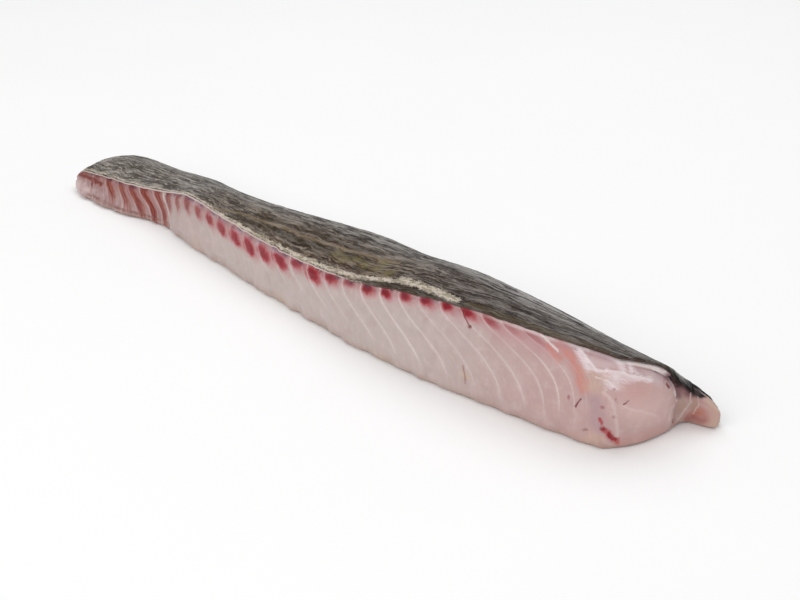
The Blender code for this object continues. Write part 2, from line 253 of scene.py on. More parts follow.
HEAD_LAYERS = [Layer(*row) for row in (
    ("head_pink", (190, 146, 148), 0.5, 0.45, 0.6, HEAD_TOP_PINK),
    ("bulge", (222, 188, 183), 0.7, 0.5, 0.3, BULGE),
    ("orange", (202, 118, 102), 0.6, 0.5, 1.4, (ORANGE_STREAK, ORANGE_SIDE)),
    ("mauve", (168, 134, 144), 0.5, 0.45, 1.0, (MAUVE_BAND,) + PINK_MAUVE),
    ("tan", (204, 172, 150), 0.5, 0.45, 1.0, TAN_YELLOW + TAN_CORNER),
    ("salmon", (198, 146, 140), 0.5, 0.5, 0.6, SALMON_PATCH + LOWER_EDGE),
    # Purple: the lobe's own colour, and painted shade in the gap under the skin's edge.
    ("purple_and_gap_shade", (152, 116, 126), 0.7, 0.35, 1.0, (PURPLE_LOBE,) + PURPLE_GAP_SHADE),
    ("pale_lobe", (210, 192, 194), 0.6, 0.4, 0.6, (PALE_LOBE, LOBE_TIP, Spot(-5, 8.5, 6, 2.6, -28))),
    ("fascia", (238, 225, 228), 0.68, 0.5, 2.2,
     (FASCIA_LEFT, FASCIA_ARC) + FASCIA_PATCH + FASCIA_FOLDS),
    ("fascia_lines", (240, 228, 228), 0.6, 0.4, 0.8, FASCIA_LINES),
    ("lobes", (176, 148, 134), 0.8, 0.35, 0.6, LOBE_FILL),
    # Maroon: the tissue's own colour mixed with painted shade in the recess under the skin.
    ("maroon_and_shade", (104, 48, 60), 0.9, 0.35, 0.7, MAROON_AND_SHADE),
    ("flap_pink", (186, 142, 138), 0.6, 0.4, 0.6, FLAP_PINK),
    ("flap_orange", (178, 108, 86), 0.85, 0.45, 1.2, FLAP_ORANGE),
    ("flap_red", (154, 82, 76), 0.7, 0.45, 0.7, FLAP_RED),
    ("flap_rim", (192, 160, 144), 0.8, 0.4, 1.0, FLAP_RIM),
    ("shadow", (16, 9, 9), 1.0, 0.25, 0.4, UNDER_SKIN_SHADOW),
    ("blood", (172, 44, 52), 0.85, 0.4, 1.4, BLOOD),
    ("blood_core", (134, 0, 18), 0.95, 0.3, 1.4, BLOOD_CORE),
    ("nick_dots", (136, 62, 72), 0.6, 0.4, 0.8, NICK_DOTS),
)]
WISPY_LAYERS = ("fascia",)

# Thin lines, which the materials draw from the exact distance to each stroke.
HEAD_LINES = (
    Line((222, 204, 202), 0.35, (DIAGONAL_LINE, BEND_LINE, MUSCLE_EDGE_LOW)),
    Line((230, 216, 214), 0.75, (MUSCLE_EDGE, BOLD_LINE)),
    Line((204, 184, 176), 0.7, LOBE_LINES),
    Line((118, 26, 38), 0.9, NICKS + RED_NICK),
)
SIDE_LINES = (
    Line((128, 40, 48), 0.85, SIDE_NICK),
    Line((150, 96, 84), 0.6, SIDE_CRESCENT),
)

HEAD_RELIEF = (
    Relief(1.5, (Spot(-9, -2, 19, 13, 0),)),
    Relief(-0.9, (Spot(-21, 6.5, 8, 3.6, -5),)),
    Relief(0.6, (PURPLE_LOBE, PALE_LOBE)),
    Relief(0.35, (FASCIA_LEFT, FASCIA_ARC) + FASCIA_FOLDS),
    Relief(0.35, (MUSCLE_EDGE, BOLD_LINE) + LOBE_LINES),
    Relief(-0.4, (LENS_GROOVE,)),
    Relief(-0.5, NICKS + RED_NICK + NICK_DOTS),
    Relief(-0.35, BLOOD),
    Relief(0.25, (DIAGONAL_LINE, BEND_LINE)),
    Relief(-0.5, (stroke(1.2, -31, 12.5, -27, 11.8, -22, 11.3, -17, 11),)),
    Relief(0.5, FLAP_RIM),
)

SIDE_LAYERS = [Layer(*row) for row in (
    ("side_tan", (196, 174, 150), 0.45, 0.5, 0.8, TAN_BITS),
    ("side_nick", (84, 14, 24), 0.9, 0.3, 0.4, (Spot(338.8, 6.8, 1.0, 0.7, 0),)),
    ("brick", (120, 46, 38), 0.95, 0.4, 1.2, BRICK_STREAKS),
    ("tail_lump", (206, 182, 180), 0.9, 0.4, 0.6, TAIL_LUMP),
)]
SIDE_RELIEF = (Relief(0.9, TAIL_LUMP), Relief(-0.5, LUMP_GROOVE))
LOW_LINE = (stroke(0.55, 6, 3.2, 16, 3.8, 30, 3.6, 50, 3.2, 70, 3.2, 86, 3.6),)

# The dark muscle shows on the cut side as one stripe or blotch in each flake, from the tail cut on:
# its strength, its half width as a share of the flake, and its centre and half height in mm.
STRIPE_PHASE = 0.33
STRIPES = (
    (0.6, 0.4, 2, 4), (0.9, 0.34, 4, 8), (0.75, 0.38, 4.4, 8.8), (0.85, 0.42, 6, 12),
    (1, 0.36, 8, 15.5), (0.9, 0.34, 7.5, 15), (0.75, 0.34, 3.4, 6.8), (0.75, 0.34, 3.6, 6.2),
    (0.85, 0.42, 4, 5), (0.75, 0.42, 4.6, 4.6), (0.9, 0.45, 5.2, 4.4), (0.9, 0.46, 5.6, 4.2),
    (1, 0.52, 5.6, 4.5), (1, 0.48, 6.4, 5), (0.95, 0.52, 5.6, 4.7), (1, 0.56, 4.2, 5),
    (0.75, 0.46, 2.6, 3.8), (1, 0.58, 3.2, 4.6), (0.8, 0.5, 2.2, 3.4), (0.5, 0.5, 1.6, 2.6),
    (0.8, 0.54, 2, 3.4), (0.95, 0.4, 1.9, 3.1), (0.8, 0.44, 1.8, 2.9), (0.85, 0.42, 1.7, 2.8),
    (0.95, 0.42, 1.7, 2.7), (0.9, 0.46, 1.7, 2.6), (0.6, 0.5, 1.8, 3.2), (0.5, 0.5, 1.8, 3),
    (0.6, 0.5, 2.2, 3.2), (0, 0.4, 1, 1), (0, 0.4, 1, 1),
)
STRIPE_FADE = 1.15
STRIPE_RAGGED = 0.06

# By the place along: how crimson the stripes are, how well the flake lines show, and how far down.
CRIMSON_SHARE = ((0, 0), (55, 0.1), (110, 0.3), (145, 0.9), (170, 1), (340, 1), (356, 0.7), (416, 0.6))
SEPTA_STRENGTH = ((0, 0.2), (40, 0.5), (60, 0.8), (78, 0.8), (90, 0.35), (130, 0.25), (165, 0.35),
                  (195, 0.6), (230, 0.9), (330, 1), (372, 0.9), (388, 0.5), (400, 0.2), (408, 0),
                  (416, 0))
SEPTA_END = ((0, 0.8), (78, 0.8), (90, 0.4), (150, 0.3), (210, 0.4), (240, 0.52), (300, 0.62),
             (340, 0.6), (380, 0.45), (416, 0.35))
SEPTA_FADE = 0.25
LEAST_LINE = 0.45

# Marks of the skin, as (along, mm round the skin from the cut edge).
CREAM_BAND = (stroke(0.5, 2, 1.2, 60, 1.0, 134, 0.8),
              stroke(0.9, 134, 0.2, 153.5, 0.7, 183, 1.0, 216.5, 1.3),
              stroke(1.2, 216.5, 1.2, 237, 1.5, 260, 2.0, 277.5, 3.5, 290, 4.8),
              stroke(1.8, 289.5, 5.4, 302, 5.4, 315, 4.0, 327, 2.0))
TAN_LINE = (stroke(1.0, 130, 0, 138, 3.1, 151, 8, 168.5, 10.2, 185, 12.6, 202.5, 12.9, 226, 14.8,
                   258, 17.5, 275.5, 18.2),)
DARK_LINES = (stroke(2.2, 150, 3.4, 168.5, 6.6, 185, 8.8, 202.5, 9.4, 226, 11.0, 258, 13.4),
              stroke(1.6, 160, 13, 185, 16, 226, 18.5, 258, 21),
              stroke(1.8, 268, 0.8, 290, 1.6, 315, 0.9, 345, 0.6, 380, 0.8))
OLIVE_MOTTLES = tuple(Spot(x, y, 3.3, 2.4, 8) for x, y in (
    (237, 11), (244.5, 9.8), (252, 11.5), (261, 10.5), (269.5, 9.7), (268, 15.2), (279, 8.9)))
OLIVE_EDGE = (stroke(1.3, 334, 1.8, 351, 1.4, 366.5, 2, 383.6, 1.0, 405, 3.0),)
SKIN_FOLDS = (stroke(1.4, 130.5, 12.7, 125, 21.5, 115, 32.6),)

SKIN_LAYERS = [Layer(*row) for row in (
    ("dark_line", (50, 39, 22), 0.75, 0.45, 1.2, DARK_LINES),
    ("tan_line", (132, 114, 90), 0.65, 0.35, 1.8, TAN_LINE),
    ("olive", (116, 104, 62), 0.65, 0.45, 1.6, OLIVE_MOTTLES),
    ("brown_edge", (90, 76, 50), 0.6, 0.45, 1.6, OLIVE_EDGE),
    ("cream", (204, 192, 176), 0.95, 0.25, 3.4, CREAM_BAND),
    ("cream_bits", (122, 110, 86), 0.75, 0.3, 2.0, CREAM_BAND),
)]

# Colours as sRGB values of 0 to 255.
FLESH_TINTS = {
    "cool": (186, 172, 166), "warm": (197, 181, 177), "tail": (170, 138, 137),
    "head": (194, 153, 150), "bright": (206, 186, 184), "dull": (176, 150, 146),
    "top_tail": (164, 116, 116), "top": (186, 144, 146), "low": (172, 140, 124),
    "speck": (212, 196, 192), "strip": (176, 152, 150), "strip_tail": (134, 94, 92),
    "halo": (184, 88, 96), "halo_tail": (160, 98, 86), "core": (154, 2, 32),
    "core_tail": (146, 76, 54), "core_dark": (104, 36, 34), "deep": (116, 0, 20),
    "veil": (134, 84, 108), "veil_pale": (204, 178, 186), "shadow_bits": (88, 50, 74),
    "septum": (228, 214, 211), "step": (216, 200, 190), "membrane": (232, 218, 214),
    "low_line": (130, 82, 74),
}
SKIN_TINTS = {
    "light": (92, 74, 60), "light_tail": (124, 117, 110), "light_head": (74, 61, 52),
    "dark": (62, 47, 36), "dark_tail": (86, 78, 71), "dark_head": (42, 31, 26),
    "pale": (150, 134, 116), "pale_tail": (180, 172, 162), "pale_head": (160, 152, 147),
    "deep": (38, 27, 17), "deep_tail": (50, 43, 37), "deep_head": (20, 14, 12),
    "glint": (146, 141, 136), "glint_head": (176, 172, 168), "far_dark": (36, 31, 28),
    "low_dark": (44, 34, 27), "low_light": (84, 72, 62), "edge": (206, 190, 184),
    "edge_head": (78, 62, 52),
}
FLOOR_TINTS = {"white": (255, 255, 255), "off_white": (252, 252, 252)}


def smooth_curve(along, knots, values):
    """A smooth curve through the knots, with each slope taken from the neighbouring knots."""
    knots = np.asarray(knots, float)
    values = np.asarray(values, float)
    along = np.clip(along, knots[0], knots[-1])
    index = np.clip(np.searchsorted(knots, along, side="right") - 1, 0, len(knots) - 2)
    slope = np.gradient(values, knots)
    span = knots[index + 1] - knots[index]
    t = (along - knots[index]) / span
    start = (2 * t**3 - 3 * t**2 + 1) * values[index] + (t**3 - 2 * t**2 + t) * span * slope[index]
    end = (3 * t**2 - 2 * t**3) * values[index + 1] + (t**3 - t**2) * span * slope[index + 1]
    return start + end


def smoothstep(t):
    t = np.clip(t, 0, 1)
    return t * t * (3 - 2 * t)


def station(along, field):
    """One value of the sections, at a place along the loin."""
    knots = [row.along for row in STATIONS]
    return smooth_curve(along, knots, [getattr(row, field) for row in STATIONS])


def flake_lines():
    """The number of each line between two flakes, and where it starts at the top of the cut face."""
    knots, values = zip(*FLAKE_STARTS)
    count = np.arange(knots[0], knots[-1] + 1)
    return count, smooth_curve(count, knots, values)


def flake_number(start):
    count, lines = flake_lines()
    return np.interp(start, lines, count)


def start_places(columns_per_flake):
    """Where the sections start along the top of the cut face, from the tail cut to the head cut."""
    count, lines = flake_lines()
    places = np.interp(np.arange(count[0], count[-1], 1 / columns_per_flake), count, lines)
    first, last = TAIL_ROUND * (1 - HALF_TURN), BODY_LENGTH - HEAD_ROUND * (1 - HALF_TURN)
    inner = places[(places > first + LEAST_COLUMN) & (places < last - LEAST_COLUMN)]
    return np.concatenate([[first], inner, [last]])


def drift(start, drop):
    """How far a flake line that starts here has moved to the head, this part of the way down."""
    half = smooth_curve(start, *zip(*HALF_WAY))
    down = (drop * (1 - half)) ** DRIFT_STEEPNESS
    left = ((1 - drop) * half) ** DRIFT_STEEPNESS
    return smooth_curve(start, *zip(*DRIFT)) * down / (down + left)


def crown(along, v, depth):
    """(across, up) at a depth below the skin's outer face; v is 0 at the cut and 1 at the hem."""
    foot, face, lean, rise, width, shoulder = (station(along, field) for field in Station._fields[1:])
    top = foot + lean
    across = (top, top + CROWN_HANDLE * width, foot + width + BACK_HANDLE, foot + width)
    up = (face, face + rise, shoulder, np.full_like(foot, SKIN_HEM))

    def point(p):
        return (1 - v)**3 * p[0] + 3 * (1 - v)**2 * v * p[1] + 3 * (1 - v) * v**2 * p[2] + v**3 * p[3]

    def slope(p):
        return (1 - v)**2 * (p[1] - p[0]) + 2 * (1 - v) * v * (p[2] - p[1]) + v**2 * (p[3] - p[2])

    run, climb = slope(across), slope(up)
    size = np.hypot(run, climb)
    return point(across) + depth * climb / size, point(up) - depth * run / size


def head_end(across):
    """How far along the head cut is, at a place across."""
    knots, values = zip(*HEAD_END)
    return smooth_curve(across, knots, values)


def notch(across, up):
    """How deep the groove beside the flap is at a place on the head cut."""
    above = np.maximum(up - NOTCH_HEIGHT, 0)
    below = np.maximum(NOTCH_HEIGHT - up, 0)
    middle = NOTCH_ACROSS - NOTCH_BEND_UP * above**2 - NOTCH_BEND_DOWN * below**2
    return NOTCH_DEPTH * np.exp(-((across - middle) / NOTCH_WIDTH) ** 2)


def stretch_to_head(along, across):
    """Moves a place near the head end along, so that the last section ends on the head cut."""
    share = smoothstep((along - HEAD_STRETCH_FROM) / (BODY_LENGTH - HEAD_STRETCH_FROM))
    return along + (head_end(across) - BODY_LENGTH) * share


def settle(start, place):
    """(along, across, up) of a row once it reaches the head cut; place gives (across, up) at along."""
    along = start
    for _ in range(SETTLE_ROUNDS):
        across, _ = place(along)
        along = stretch_to_head(start, across)
    return along, *place(along)


def slant_tail(along, across, up):
    """Moves a place near the tail cut along, so that the cut's front leans and bulges as it should."""
    height = np.minimum(up / STATIONS[0].face, 1)
    front = 1 - smoothstep((across - STATIONS[0].foot) / TAIL_SLANT_WIDTH)
    back = np.maximum(across / TAIL_SLANT_WIDTH, 0)
    share = 1 - smoothstep(along / TAIL_SLANT_LENGTH)
    lean = smooth_curve(height, *zip(*TAIL_LEAN)) * front
    return along + share * (TAIL_BACK_SET * back - lean)


# Fixed random numbers: one for each cell of the noise, and one for each flake line.
LATTICE = np.random.default_rng(11).random(8191)
LATTICE_STEPS = (73856093, 19349663, 83492791)
SEED_SHIFT = 17.3
LINE_LUCK = np.random.default_rng(4).random(64)


def noise_at(points, cell, seed=0):
    """Smooth noise between -1 and 1 at the points, for cells of this size in mm."""
    place = points / np.asarray(cell, float) + SEED_SHIFT * seed
    low = np.floor(place).astype(np.int64)
    part = place - low
    part = part * part * (3 - 2 * part)
    total = np.zeros(len(points))
    for corner in np.ndindex(2, 2, 2):
        key = ((low + corner) @ LATTICE_STEPS) % len(LATTICE)
        total += np.prod(np.where(corner, part, 1 - part), -1) * LATTICE[key]
    return 2 * total - 1


def rough(points, rows):
    """A sum of noises, from rows of (height in mm, cell in mm, seed)."""
    return sum(height * noise_at(points, cell, seed) for height, cell, seed in rows)


def stroke_distance(x, y, points):
    """The distance from each place to a line through the points."""
    nearest = np.full(np.shape(x), np.inf)
    for (x0, y0), (x1, y1) in zip(points, points[1:]):
        run = (x1 - x0, y1 - y0)
        share = np.clip(((x - x0) * run[0] + (y - y0) * run[1]) / (run[0]**2 + run[1]**2), 0, 1)
        nearest = np.minimum(nearest, np.hypot(x - x0 - share * run[0], y - y0 - share * run[1]))
    return nearest


def mark_distance(mark, x, y):
    """How far each place is from a mark's middle, as a share of the mark's half width."""
    if isinstance(mark, Stroke):
        return stroke_distance(x, y, mark.points) / mark.width
    turn = np.radians(mark.turn)
    u = (x - mark.x) * np.cos(turn) + (y - mark.y) * np.sin(turn)
    v = (y - mark.y) * np.cos(turn) - (x - mark.x) * np.sin(turn)
    return np.hypot(u / mark.long, v / mark.wide)


def mask_of(marks, x, y):
    """1 at the middle of the nearest mark, falling to 0 at twice its half width."""
    nearest = np.min([mark_distance(mark, x, y) for mark in marks], 0)
    return np.clip(1 - nearest / 2, 0, 1)


def relief_of(reliefs, x, y):
    """How far the marks raise or sink each place, in mm."""
    total = np.zeros(np.shape(x))
    for relief in reliefs:
        nearest = np.min([mark_distance(mark, x, y) for mark in relief.marks], 0)
        total += relief.height * np.exp(-nearest**2)
    return total


def head_map(points):
    """The places (right, up) of points on the head map."""
    right, up, _ = camera_axes()
    return (points - HEAD_MAP_MIDDLE) @ right, (points - HEAD_MAP_MIDDLE) @ up


def section_rows(split):
    """The rows round a section, with the crown and the base split further for an end."""
    crown_rows, back_rows = CROWN_ROWS * split, BACK_ROWS * (BACK_SPLIT if split > 1 else 1)
    rows = [("heel", k / HEEL_ROWS) for k in range(HEEL_ROWS)]
    rows += [("face", k / FACE_ROWS) for k in range(FACE_ROWS)]
    rows += [("crown", k / crown_rows) for k in range(crown_rows)]
    rows += [("back", k / back_rows) for k in range(back_rows)]
    rows += [("base", 1 - k / crown_rows) for k in range(crown_rows)]
    return rows


def flake_relief(start, rise_share):
    """How far the cut face stands out between two flake lines, and past the step."""
    bulge = FLAKE_BULGE * np.abs(np.sin(np.pi * flake_number(start))) ** FLAKE_SQUARE
    fade = smoothstep(rise_share / FLAKE_FADE_LOW) * smoothstep((1 - rise_share) / FLAKE_FADE_TOP)
    ends = smoothstep((FLAKE_LAST - start) / FLAKE_FADE_HEAD) * smoothstep(start / FLAKE_FADE_TAIL)
    step = STEP_HEIGHT * smoothstep((start - STEP_ALONG) / STEP_LENGTH)
    return bulge * fade * ends + step * fade


def flesh_row(kind, value, start):
    """(along, across, up) for one row of the flesh at each of these starting places."""
    over = {"base": 1 - (1 - value)**BASE_SPREAD, "back": 1.0}.get(kind, 0.0)
    turn = value * np.pi / 2

    def place(along):
        foot = station(along, "foot")
        back, hem = crown(along, 1.0, SKIN_THICKNESS)
        if kind == "crown":
            return crown(along, value, SKIN_THICKNESS)
        if kind == "heel":
            up = np.full_like(foot, FOOT_ROUND * (1 - np.cos(turn)))
            return foot + FOOT_ROUND * (1 - np.sin(turn)), up
        if kind == "back":
            return back - BACK_ROUND * (1 - np.cos(turn)), hem * (1 - np.sin(turn))
        if kind == "base":
            first, last = foot + FOOT_ROUND, back - BACK_ROUND
            return first + (last - first) * over, np.zeros_like(foot)
        top_across, top_up = crown(along, 0.0, SKIN_THICKNESS)
        across = foot + (top_across - foot) * value - flake_relief(start, value)
        return across, FOOT_ROUND + (top_up - FOOT_ROUND) * value

    if kind == "crown":
        return settle(start, place)
    drop = 1 - value if kind == "face" else 1.0
    return settle(start + drift(start, drop) * (1 - over), place)


def round_inset(start):
    """How far a section is drawn in where the loin's two ends are rounded."""
    tail = np.clip(1 - start / TAIL_ROUND, 0, 1)
    head = np.clip(1 - (BODY_LENGTH - start) / HEAD_ROUND, 0, 1)
    return TAIL_ROUND * (1 - np.sqrt(1 - tail**2)) + HEAD_ROUND * (1 - np.sqrt(1 - head**2))


def flesh_sections(starts, split):
    """Sections of the flesh, each a ring of (along, across, up)."""
    rows = section_rows(split)
    rings = np.stack([np.stack(flesh_row(kind, value, starts), -1) for kind, value in rows], 1)
    rings[..., 0] = slant_tail(rings[..., 0], rings[..., 1], rings[..., 2])
    run = np.roll(rings, -1, 1)[..., 1:] - np.roll(rings, 1, 1)[..., 1:]
    size = np.maximum(np.linalg.norm(run, axis=-1), 1e-9)
    inward = np.stack([run[..., 1], -run[..., 0]], -1) / size[..., None]
    rings[..., 1:] += inward * round_inset(starts)[:, None, None]
    return rings


def below_skin(rings, split):
    """How far each point of the sections lies below the skin's edge, measured down the cut side."""
    side = HEEL_ROWS + FACE_ROWS
    face = rings[:, :side + 1, 1:]
    steps = np.linalg.norm(np.diff(face, axis=1), axis=-1)
    down = np.full(rings.shape[:2], FAR_BELOW)
    down[:, :side] = np.cumsum(steps[:, ::-1], 1)[:, ::-1]
    crown_rows = CROWN_ROWS * split
    down[:, side:side + crown_rows] = 0
    return down


def ring_place(i, j, side, top):
    """Where a place on the edge of an end grid, i rows up and j rows over, is in its ring."""
    if j == 0:
        return i
    if i == side:
        return side + j
    if j == top:
        return 2 * side + top - i
    return 2 * side + 2 * top - j


def end_grid(ring, side, top):
    """Points (across, up) over the whole end of a section, blended from its four sides."""
    left, right = ([ring[ring_place(i, j, side, top), 1:] for i in range(side + 1)] for j in (0, top))
    base, crest = ([ring[ring_place(i, j, side, top) % len(ring), 1:] for j in range(top + 1)]
                   for i in (0, side))
    left, right, base, crest = (np.array(edge) for edge in (left, right, base, crest))
    w = np.linspace(0, 1, side + 1)[:, None, None]
    u = np.linspace(0, 1, top + 1)[None, :, None]
    sides = (1 - u) * left[:, None] + u * right[:, None] + (1 - w) * base[None] + w * crest[None]
    corners = (1 - w) * ((1 - u) * left[0] + u * right[0]) + w * ((1 - u) * left[-1] + u * right[-1])
    return sides - corners


def edge_distance(grid, ring):
    """The distance from each point of an end grid to the ring round it."""
    away = grid[:, :, None, :] - ring[None, None, :, 1:]
    return np.sqrt((away**2).sum(-1).min(-1))


def round_height(distance, radius):
    """How far a rounded end still has to rise to its full length, this far in from its edge."""
    left = np.clip(radius - distance - radius * (1 - HALF_TURN), 0, radius)
    return radius - np.sqrt(radius**2 - left**2)


def head_surface(grid, distance):
    """How far along each place of the head cut is, this far in from the cut's edge."""
    across, up = grid[..., 0], grid[..., 1]
    groove = notch(across, up) * smoothstep(distance / HEAD_FLAT_EDGE)
    return head_end(across) - round_height(distance, HEAD_ROUND) - groove


def tail_surface(grid, distance):
    """The same for the tail cut."""
    bulge = TAIL_BULGE * smoothstep(distance / TAIL_FLAT_EDGE)
    return slant_tail(0.0, grid[..., 0], grid[..., 1]) + round_height(distance, TAIL_ROUND) - bulge


class Solid:
    """Points, faces and named values of a mesh that is being built."""

    def __init__(self):
        self.points, self.faces, self.values = [], [], {}

    def add_points(self, points, **values):
        first = sum(len(block) for block in self.points)
        self.points.append(points.reshape(-1, 3))
        for name, value in values.items():
            each = np.broadcast_to(value, points.shape[:-1])
            self.values.setdefault(name, []).append(each.reshape(-1))
        return first

    def finished(self):
        values = {name: np.concatenate(blocks) for name, blocks in self.values.items()}
        return np.concatenate(self.points), self.faces, values


def ring_faces(count, size):
    """The faces between each of so many closed rings of this size and the next."""
    around = [(j, (j + 1) % size) for j in range(size)]
    rings = [(i * size, (i + 1) * size) for i in range(count - 1)]
    return [(near + j, far_reflection + j, far_reflection + k, near + k) for near, far_reflection in rings for j, k in around]


def add_end(solid, body_ring, outward, start, split, surface):
    """Closes the flesh with a dense rounded end that meets the body's coarser last section."""
    side, top = HEEL_ROWS + FACE_ROWS, CROWN_ROWS * split
    ring = flesh_sections(np.array([start]), split)[0]
    grid = end_grid(ring, side, top)
    distance = edge_distance(grid, ring)
    points = np.dstack([surface(grid, distance), grid])
    rim = {(i, j): ring_place(i, j, side, top) % len(ring)
           for i in range(side + 1) for j in range(top + 1) if i in (0, side) or j in (0, top)}
    for at, n in rim.items():
        points[at] = ring[n]
    drop = np.linalg.norm(grid - grid[-1:], axis=-1)
    first = solid.add_points(points, flake=flake_number(start), below=drop, end=1.0, start=start)
    number = first + np.arange((side + 1) * (top + 1)).reshape(side + 1, top + 1)
    for i in range(side):
        for j in range(top):
            face = (number[i, j], number[i, j + 1], number[i + 1, j + 1], number[i + 1, j])
            solid.faces.append(face if outward else face[::-1])
    edge = {n: number[at] for at, n in rim.items()}
    steps = [1] * side + [split] * CROWN_ROWS + [BACK_SPLIT] * BACK_ROWS + [split] * CROWN_ROWS
    place = 0
    for k, step in enumerate(steps):
        dense = [edge[(place + n) % len(ring)] for n in range(step + 1)]
        face = (body_ring + k, *dense, body_ring + (k + 1) % len(steps))
        solid.faces.append(face if outward else face[::-1])
        place += step


def make_mesh(name, points, faces):
    """A smooth-shaded mesh in metres, moved so that the loin's middle is over the origin."""
    middle = np.array([CENTRE_ALONG, CENTRE_ACROSS, 0])
    mesh = bpy.data.meshes.new(name)
    mesh.from_pydata(((points - middle) * MM).tolist(), [], faces)
    mesh.shade_smooth()
    return mesh


def store(mesh, values):
    """Writes named values for each point of a mesh, which the materials read."""
    for name, value in values.items():
        attribute = mesh.attributes.new(name, "FLOAT", "POINT")
        attribute.data.foreach_set("value", np.asarray(value, np.float32))


def mesh_normals(mesh):
    normals = np.empty(len(mesh.vertices) * 3, np.float32)
    mesh.vertex_normals.foreach_get("vector", normals)
    return normals.reshape(-1, 3)


def displace(mesh, height):
    """Moves each point of a mesh out along its normal by its height in mm."""
    places = np.empty(len(mesh.vertices) * 3, np.float32)
    mesh.vertices.foreach_get("co", places)
    moved = places.reshape(-1, 3) + mesh_normals(mesh) * height[:, None] * MM
    mesh.vertices.foreach_set("co", moved.astype(np.float32).reshape(-1))
    mesh.update()


def line_variation(flake):
    """How well the nearest flake line shows, as a share of the best."""
    luck = LINE_LUCK[np.floor(flake + 0.5).astype(int) % len(LINE_LUCK)]
    return LEAST_LINE + (1 - LEAST_LINE) * luck


def stripe_field(flake, below):
    """How near the middle of its stripe a place is, 1 there and 0 at its edge, and the strength."""
    number = flake - STRIPE_PHASE + 0.5
    row = np.clip(number.astype(int), 0, len(STRIPES) - 1)
    strength, half, centre, reach = np.array(STRIPES)[row].T
    phase = np.abs(number % 1.0 - 0.5)
    away = np.hypot(phase / half, (below - centre) / reach)
    return np.clip(1 - away, -STRIPE_FADE, 1), strength


def make_flesh():
    """The flesh as one closed mesh with rounded ends, small relief and the values of its marks."""
    solid = Solid()
    starts = start_places(COLUMNS_PER_FLAKE)
    inner = starts[1:-1]
    rings = flesh_sections(inner, 1)
    down = below_skin(rings, 1)
    solid.add_points(rings, flake=flake_number(inner)[:, None], below=down, end=0.0,
                     start=inner[:, None])
    count, size = rings.shape[:2]
    solid.faces += ring_faces(count, size)
    add_end(solid, 0, False, starts[0], TAIL_SPLIT, tail_surface)
    add_end(solid, (count - 1) * size, True, starts[-1], HEAD_SPLIT, head_surface)
    points, faces, values = solid.finished()
    flake, below, body, start = values["flake"], values["below"], values["end"] < 0.5, values["start"]
    along, _, up = points.T
    right, high = head_map(points)
    mesh = make_mesh("flesh", points, faces)
    facing = smoothstep(mesh_normals(mesh) @ camera_axes()[2] / FACING_EDGE)
    facing = facing * (along > HEAD_MARKS_FROM)
    side = (below < FAR_BELOW) & body
    flank = side | (along < TAIL_MARKS_TO) & (below < FAR_BELOW)
    relief = relief_of(HEAD_RELIEF, right, high) * facing
    relief += relief_of(SIDE_RELIEF, along, below) * flank
    relief += rough(points, FLESH_ROUGH)
    relief *= smoothstep(up / FLAT_FOOT) * smoothstep(below / FLAT_TOP)
    wave = rough(points * (1, 0, 0), EDGE_WAVE)
    relief += LOW_EDGE_WAVE * wave * np.exp(-((up - WAVE_UP) / WAVE_UP)**2) * side
    displace(mesh, relief)
    shift_x, shift_y = (rough(points, rows) for rows in MARK_SHIFTS)
    maps = ((HEAD_LAYERS, right, high, facing), (SIDE_LAYERS, along, below, flank))
    for layers, x, y, present in maps:
        store(mesh, {layer.name: mask_of(layer.marks, x + shift_x, y + shift_y) * present
                     for layer in layers})
    stripes, strength = stripe_field(flake + STRIPE_RAGGED * shift_x, below + shift_y)
    drop = np.where(side, below / station(start, "face"), 1)
    septa = smooth_curve(start, *zip(*SEPTA_STRENGTH)) * line_variation(flake)
    septa *= 1 - smoothstep((drop - smooth_curve(start, *zip(*SEPTA_END))) / SEPTA_FADE)
    store(mesh, {
        "low_line": mask_of(LOW_LINE, along, up + 0.5 * shift_y) * flank,
        "map_x": right, "map_y": high, "facing": facing, "side": side,
        "stripe": np.where(side, stripes, -STRIPE_FADE), "stripe_strength": strength,
        "crimson": smooth_curve(start, *zip(*CRIMSON_SHARE)), "septa": septa * body,
        "flake": flake, "below": below, "along": along, "up": up})
    return mesh


def skin_place(start, v, depth):
    """(along, across, up) on the skin, at a depth below its outer face."""
    along, across, _ = settle(start, lambda along: crown(along, v, 0.0))
    along = along - SKIN_SHORT_OF_FLAP * smoothstep((along - BODY_LENGTH) / FLAP_RISE_LENGTH)
    curl = smoothstep((start - BODY_LENGTH + CURL_LENGTH) / CURL_LENGTH)
    curl = curl * smoothstep((across - CURL_FROM_ACROSS) / CURL_RISE_ACROSS)
    tail_curl = np.clip(1 - start / TAIL_CURL_LENGTH, 0, 1)**2
    across, up = crown(along, v, depth)
    along = slant_tail(along, across, up) + CURL_OUT * curl + TAIL_CURL_IN * tail_curl
    up = up - CURL_DOWN * curl**2 - TAIL_CURL_DOWN * tail_curl
    return np.stack([along, across, np.maximum(up, LEAST_UP)], -1)


